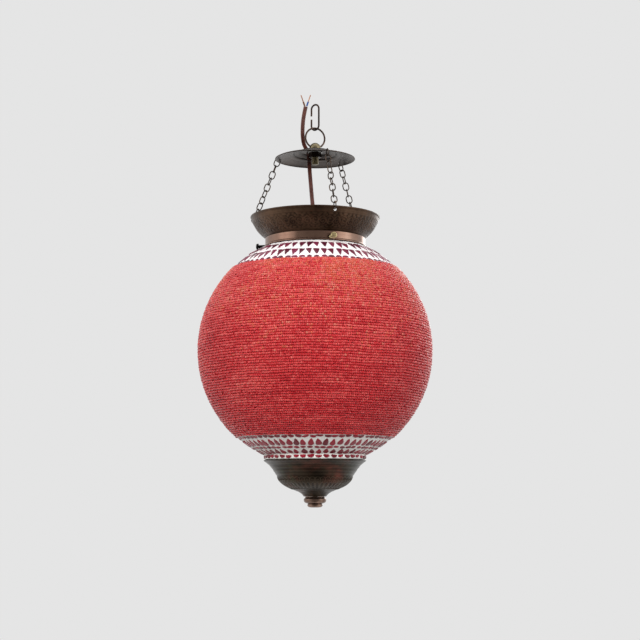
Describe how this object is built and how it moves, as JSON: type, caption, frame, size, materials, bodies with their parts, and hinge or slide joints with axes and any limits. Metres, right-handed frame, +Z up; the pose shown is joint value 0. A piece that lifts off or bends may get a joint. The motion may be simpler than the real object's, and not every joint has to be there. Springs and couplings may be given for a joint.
{
  "type": "pendant lantern",
  "caption": "Hanging lantern: beaded red glass globe with mosaic bands, bronze gallery on short chains, disc and ring above, cup and finial below",
  "frame": {"origin": "the hanging point, at the inside of the top bow of the suspension link, on the lantern's vertical axis", "axes": "+Z up along the lantern's axis; +X to the viewer's right; +Y away from the viewer"},
  "size_m": [0.256, 0.256, 0.4542],
  "materials": {
    "bronze_dark": "antique bronze, aged",
    "bronze_cup": "antique bronze, mottled with verdigris",
    "bronze_knob": "antique bronze, rubbed",
    "chain_bronze": "aged bronze wire",
    "copper_polished": "polished copper bronze",
    "brass_old": "dull old brass",
    "brass_bright": "bright brass",
    "steel_plated": "zinc plated",
    "screw_black": "blackened",
    "flex_brown": "brown twin flex, satin",
    "core_brown": "brown insulation",
    "core_blue": "blue insulation",
    "copper_wire": "bare copper",
    "black_plastic": "black",
    "rubber_black": "black",
    "porcelain": "white glazed porcelain",
    "bulb_glass": "frosted",
    "globe_glass": "clear",
    "plaster_white": "white plaster",
    "plaster_cream": "cream plaster",
    "tile_maroon": "maroon glass, glossy",
    "tile_red": "deep red glass, glossy",
    "bead_red": "red seed beads, glossy"
  },
  "bodies": {
    "anchor": {"suspension_link": "bronze_dark", "flex_top": "flex_brown", "live_core": "core_brown", "neutral_core": "core_blue", "live_conductor": "copper_wire", "neutral_conductor": "copper_wire"},
    "ring": {"hanging_ring": "bronze_dark"},
    "hanger": {"ring_bolt": "brass_old", "top_disc": "bronze_dark", "disc_washer": "steel_plated", "disc_nut": "bronze_dark", "flex_mid": "flex_brown"},
    "gallery": {"gallery_dish": "bronze_dark", "gallery_collar": "copper_polished", "gallery_rivets": "copper_polished", "holder_bracket": "steel_plated", "hollow_nipple": "brass_old", "nipple_nut_upper": "brass_old", "nipple_nut_lower": "brass_old", "cord_grip": "black_plastic", "holder_cap": "brass_old", "holder_skirt": "brass_old", "holder_insert": "porcelain", "holder_thread_shell": "brass_bright", "holder_contact": "brass_bright", "terminal_screws": "steel_plated", "lead_live": "core_brown", "lead_neutral": "core_blue", "flex_low": "flex_brown"},
    "chain_left": {"chain_left": "chain_bronze"},
    "chain_rear": {"chain_rear": "chain_bronze"},
    "chain_front": {"chain_front": "chain_bronze"},
    "tip_left": {"tip_left": "rubber_black"},
    "screw_left": {"screw_left": "screw_black"},
    "tip_rear": {"tip_rear": "rubber_black"},
    "screw_rear": {"screw_rear": "brass_bright"},
    "tip_front": {"tip_front": "rubber_black"},
    "screw_front": {"screw_front": "brass_bright"},
    "bulb_foot": {"bulb_contact": "steel_plated"},
    "bulb": {"bulb_glass": "bulb_glass", "bulb_cap": "steel_plated"},
    "globe": {"glass_globe": "globe_glass", "plaster_upper": "plaster_white", "plaster_lower": "plaster_cream", "tiles_upper": "tile_maroon", "tiles_lower": "tile_red", "bead_wrap": "bead_red", "finial_stud": "steel_plated", "stud_nuts": "brass_bright", "stud_washers": "steel_plated", "stud_gaskets": "rubber_black", "stud_spacer": "brass_old"},
    "cup": {"bottom_cup": "bronze_cup"},
    "knob": {"finial_knob": "bronze_knob"}
  },
  "joints": [
    {"name": "ring_swing", "type": "hinge", "parent": "anchor", "child": "ring", "pos_m": [0, 0, -0.0278], "axis": [0.8192, -0.5736, 0], "range_deg": [-20, 20], "deforming": ["flex_top"]},
    {"name": "hanger_swing", "type": "hinge", "parent": "ring", "child": "hanger", "pos_m": [0, 0, -0.04825], "axis": [0.9397, 0.342, 0], "range_deg": [-20, 20], "deforming": ["flex_mid"]},
    {"name": "lantern_sway", "type": "hinge", "parent": "hanger", "child": "gallery", "pos_m": [0, 0, 0.04408], "axis": [0, 1, 0], "range_deg": [-2.5, 2.5], "deforming": ["flex_low"]},
    {"name": "chain_left_swing", "type": "hinge", "parent": "hanger", "child": "chain_left", "pos_m": [-0.04098, 0.00871, -0.05933], "axis": [0, 1, 0], "range_deg": [-6.3, 6.3]},
    {"name": "chain_rear_swing", "type": "hinge", "parent": "hanger", "child": "chain_rear", "pos_m": [0.02804, 0.03114, -0.05933], "axis": [0, 1, 0], "range_deg": [-6.3, 6.3]},
    {"name": "chain_front_swing", "type": "hinge", "parent": "hanger", "child": "chain_front", "pos_m": [0.01295, -0.03985, -0.05933], "axis": [0, 1, 0], "range_deg": [-6.3, 6.3]},
    {"name": "screw_left_travel", "type": "slide", "parent": "gallery", "child": "tip_left", "axis": [-0.9781, 0.2079, 0], "range_m": [0, 0.0021]},
    {"name": "screw_left_turn", "type": "hinge", "parent": "tip_left", "child": "screw_left", "pos_m": [-0.05869, 0.01247, -0.157], "axis": [-0.9781, 0.2079, 0], "range_deg": [0, 1080.5]},
    {"name": "screw_rear_travel", "type": "slide", "parent": "gallery", "child": "tip_rear", "axis": [0.6691, 0.7431, 0], "range_m": [0, 0.0021]},
    {"name": "screw_rear_turn", "type": "hinge", "parent": "tip_rear", "child": "screw_rear", "pos_m": [0.04015, 0.04459, -0.157], "axis": [0.6691, 0.7431, 0], "range_deg": [0, 1080.5]},
    {"name": "screw_front_travel", "type": "slide", "parent": "gallery", "child": "tip_front", "axis": [0.309, -0.9511, 0], "range_m": [0, 0.0021]},
    {"name": "screw_front_turn", "type": "hinge", "parent": "tip_front", "child": "screw_front", "pos_m": [0.01854, -0.05706, -0.157], "axis": [0.309, -0.9511, 0], "range_deg": [0, 1080.5]},
    {"name": "bulb_travel", "type": "slide", "parent": "gallery", "child": "bulb_foot", "axis": [0, 0, -1], "range_m": [0, 0.0252]},
    {"name": "bulb_turn", "type": "hinge", "parent": "bulb_foot", "child": "bulb", "pos_m": [0, 0, -0.2], "axis": [0, 0, -1], "range_deg": [0, 2520.5]},
    {"name": "globe_turn", "type": "hinge", "parent": "gallery", "child": "globe", "pos_m": [0, 0, -0.274], "axis": [0, 0, 1], "continuous": true},
    {"name": "cup_lower", "type": "slide", "parent": "globe", "child": "cup", "axis": [0, 0, -1], "range_m": [0, 0.006]},
    {"name": "finial_turn", "type": "hinge", "parent": "cup", "child": "knob", "pos_m": [0, 0, -0.4375], "axis": [0, 0, -1], "range_deg": [0, 2160.5]}
  ],
  "couplings": [
    {"joint": "chain_left_swing", "follows": "lantern_sway", "ratio": 2.4832},
    {"joint": "chain_rear_swing", "follows": "lantern_sway", "ratio": 2.4832},
    {"joint": "chain_front_swing", "follows": "lantern_sway", "ratio": 2.4832},
    {"joint": "screw_left_turn", "follows": "screw_left_travel", "rad_per_m": 8976},
    {"joint": "screw_rear_turn", "follows": "screw_rear_travel", "rad_per_m": 8976},
    {"joint": "screw_front_turn", "follows": "screw_front_travel", "rad_per_m": 8976},
    {"joint": "finial_turn", "follows": "cup_lower", "rad_per_m": 6283.2},
    {"joint": "bulb_turn", "follows": "bulb_travel", "rad_per_m": 1745.3}
  ]
}
